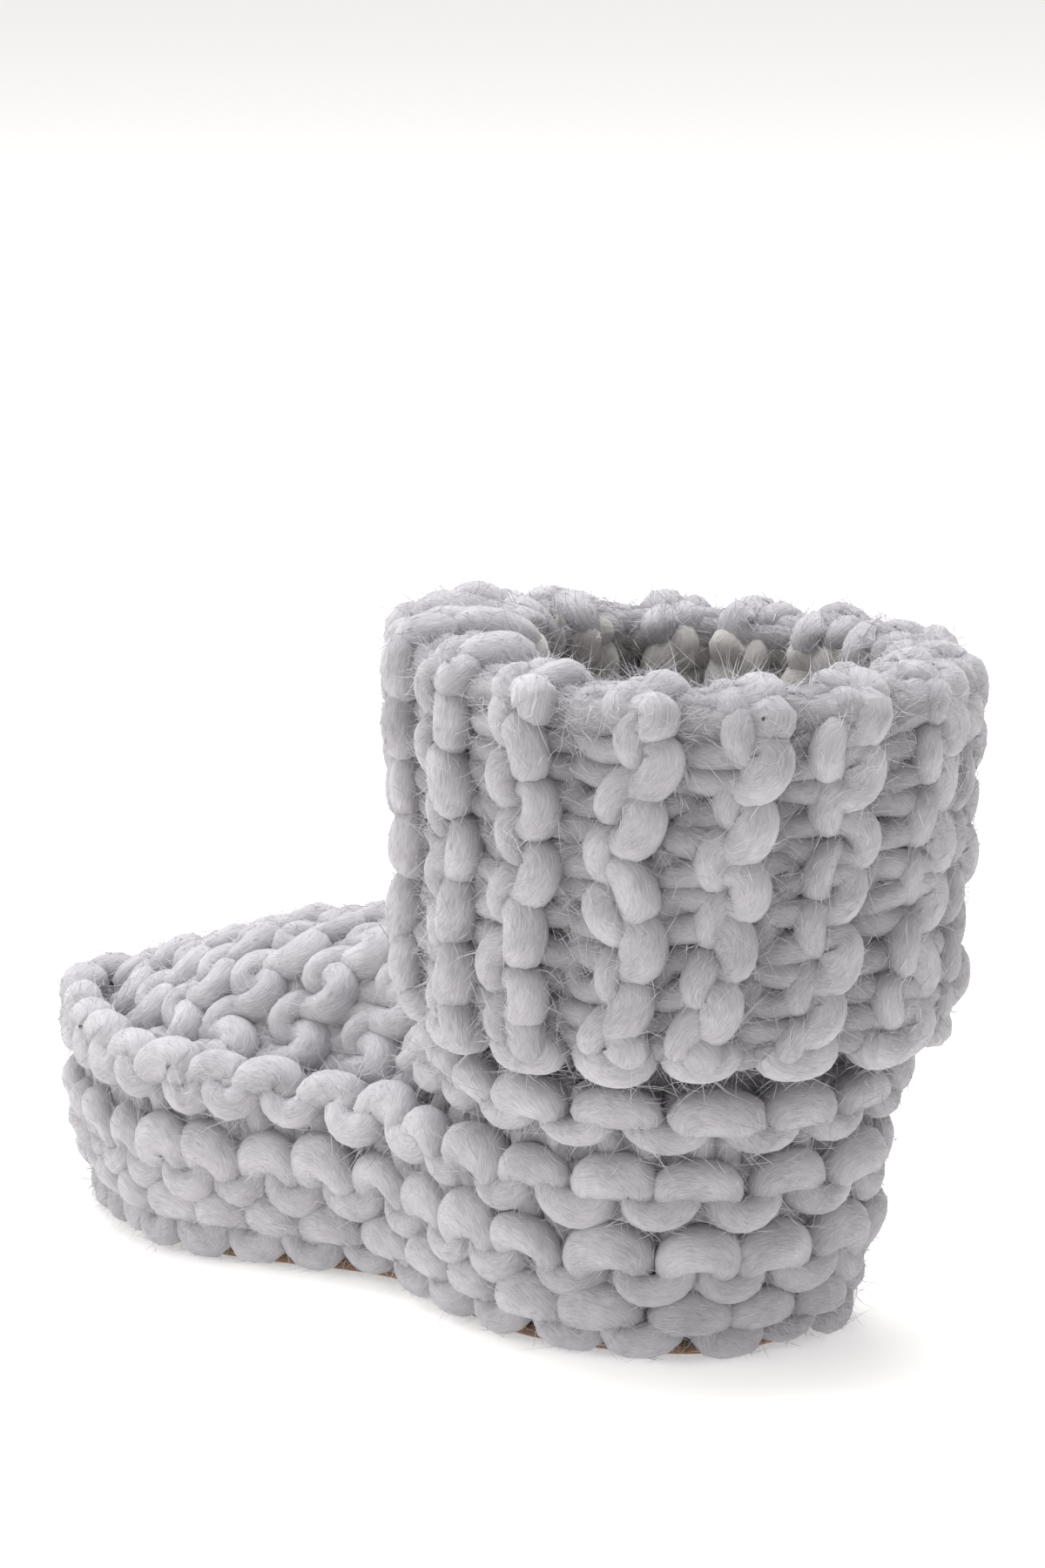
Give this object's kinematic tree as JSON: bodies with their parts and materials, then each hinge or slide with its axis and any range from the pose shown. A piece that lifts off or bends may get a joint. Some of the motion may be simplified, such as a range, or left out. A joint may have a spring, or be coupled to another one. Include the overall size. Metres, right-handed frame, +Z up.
{
  "type": "bootie slipper",
  "caption": "Child's hand-knit garter-stitch bootie slipper with a folded cuff, a fleece insole and a flat suede sole.",
  "frame": {"origin": "on the floor under the middle of the shoe's box", "axes": "-Y towards the toe, +X towards the arch side of this right shoe, +Z up"},
  "size_m": [0.0704, 0.1446, 0.0905],
  "materials": {
    "suede": "matte nap",
    "fleece": "soft pile",
    "wool": "fuzzy thick yarn"
  },
  "bodies": {
    "root": {"outsole": "suede", "insole": "fleece", "upper": "wool", "cuff": "wool"}
  },
  "joints": []
}
